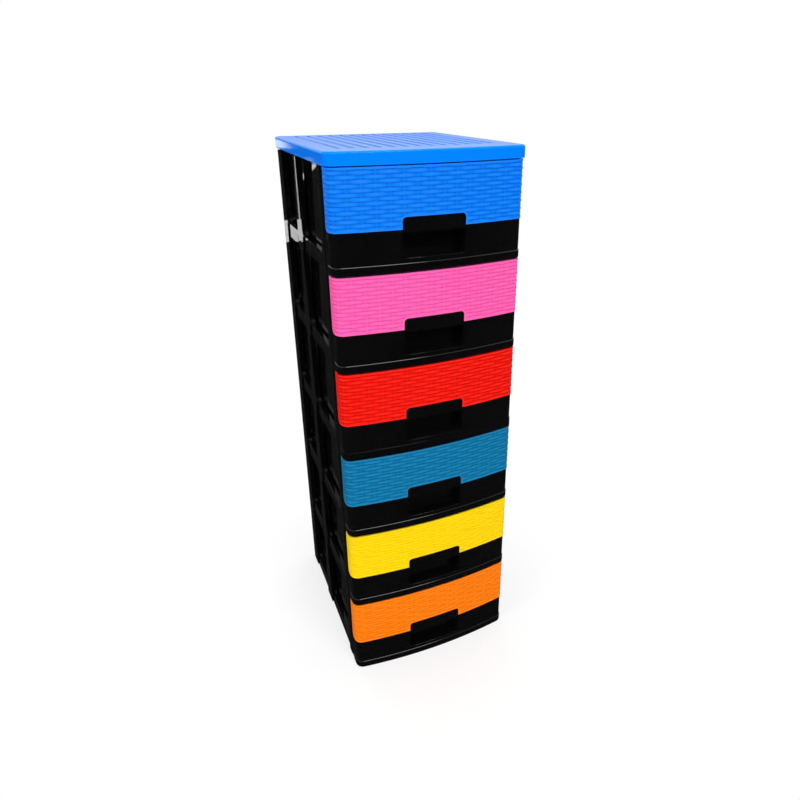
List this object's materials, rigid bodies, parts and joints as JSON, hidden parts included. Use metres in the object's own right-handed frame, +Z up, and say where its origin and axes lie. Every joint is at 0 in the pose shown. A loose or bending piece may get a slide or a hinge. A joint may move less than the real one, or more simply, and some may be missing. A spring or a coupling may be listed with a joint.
{
  "type": "plastic drawer tower",
  "caption": "Tall bow-fronted plastic drawer tower for craft supplies and small parts, with open post sides, woven-look drawer fronts in bright colours and a ribbed top.",
  "frame": {"origin": "on the floor, in the middle of the tower's base", "axes": "+Z up, -Y towards the front of the drawers, +X to the right of someone facing the drawers from the front"},
  "size_m": [0.386, 0.45, 1.1515],
  "materials": {
    "black_plastic": "glossy injection-moulded black plastic",
    "blue_plastic": "satin injection-moulded plastic, woven relief on the drawer front, grooved on the top panel",
    "pink_plastic": "satin injection-moulded plastic with a woven relief",
    "red_plastic": "satin injection-moulded plastic with a woven relief",
    "teal_plastic": "satin injection-moulded plastic with a woven relief",
    "yellow_plastic": "satin injection-moulded plastic with a woven relief",
    "orange_plastic": "satin injection-moulded plastic with a woven relief"
  },
  "bodies": {
    "tower": {"top_panel": "blue_plastic", "shelf_frame_1": "black_plastic", "shelf_frame_2": "black_plastic", "shelf_frame_3": "black_plastic", "shelf_frame_4": "black_plastic", "shelf_frame_5": "black_plastic", "shelf_frame_6": "black_plastic", "front_post_left_1": "black_plastic", "middle_post_left_1": "black_plastic", "rear_post_left_1": "black_plastic", "front_post_right_1": "black_plastic", "middle_post_right_1": "black_plastic", "rear_post_right_1": "black_plastic", "front_post_left_2": "black_plastic", "middle_post_left_2": "black_plastic", "rear_post_left_2": "black_plastic", "front_post_right_2": "black_plastic", "middle_post_right_2": "black_plastic", "rear_post_right_2": "black_plastic", "front_post_left_3": "black_plastic", "middle_post_left_3": "black_plastic", "rear_post_left_3": "black_plastic", "front_post_right_3": "black_plastic", "middle_post_right_3": "black_plastic", "rear_post_right_3": "black_plastic", "front_post_left_4": "black_plastic", "middle_post_left_4": "black_plastic", "rear_post_left_4": "black_plastic", "front_post_right_4": "black_plastic", "middle_post_right_4": "black_plastic", "rear_post_right_4": "black_plastic", "front_post_left_5": "black_plastic", "middle_post_left_5": "black_plastic", "rear_post_left_5": "black_plastic", "front_post_right_5": "black_plastic", "middle_post_right_5": "black_plastic", "rear_post_right_5": "black_plastic", "front_post_left_6": "black_plastic", "middle_post_left_6": "black_plastic", "rear_post_left_6": "black_plastic", "front_post_right_6": "black_plastic", "middle_post_right_6": "black_plastic", "rear_post_right_6": "black_plastic"},
    "drawer_1": {"drawer_box_1": "black_plastic", "drawer_front_1": "blue_plastic"},
    "drawer_2": {"drawer_box_2": "black_plastic", "drawer_front_2": "pink_plastic"},
    "drawer_3": {"drawer_box_3": "black_plastic", "drawer_front_3": "red_plastic"},
    "drawer_4": {"drawer_box_4": "black_plastic", "drawer_front_4": "teal_plastic"},
    "drawer_5": {"drawer_box_5": "black_plastic", "drawer_front_5": "yellow_plastic"},
    "drawer_6": {"drawer_box_6": "black_plastic", "drawer_front_6": "orange_plastic"}
  },
  "joints": [
    {"name": "drawer_1_slide", "type": "slide", "parent": "tower", "child": "drawer_1", "axis": [0, -1, 0], "range_m": [0, 0.3]},
    {"name": "drawer_2_slide", "type": "slide", "parent": "tower", "child": "drawer_2", "axis": [0, -1, 0], "range_m": [0, 0.3]},
    {"name": "drawer_3_slide", "type": "slide", "parent": "tower", "child": "drawer_3", "axis": [0, -1, 0], "range_m": [0, 0.3]},
    {"name": "drawer_4_slide", "type": "slide", "parent": "tower", "child": "drawer_4", "axis": [0, -1, 0], "range_m": [0, 0.3]},
    {"name": "drawer_5_slide", "type": "slide", "parent": "tower", "child": "drawer_5", "axis": [0, -1, 0], "range_m": [0, 0.3]},
    {"name": "drawer_6_slide", "type": "slide", "parent": "tower", "child": "drawer_6", "axis": [0, -1, 0], "range_m": [0, 0.3]}
  ]
}
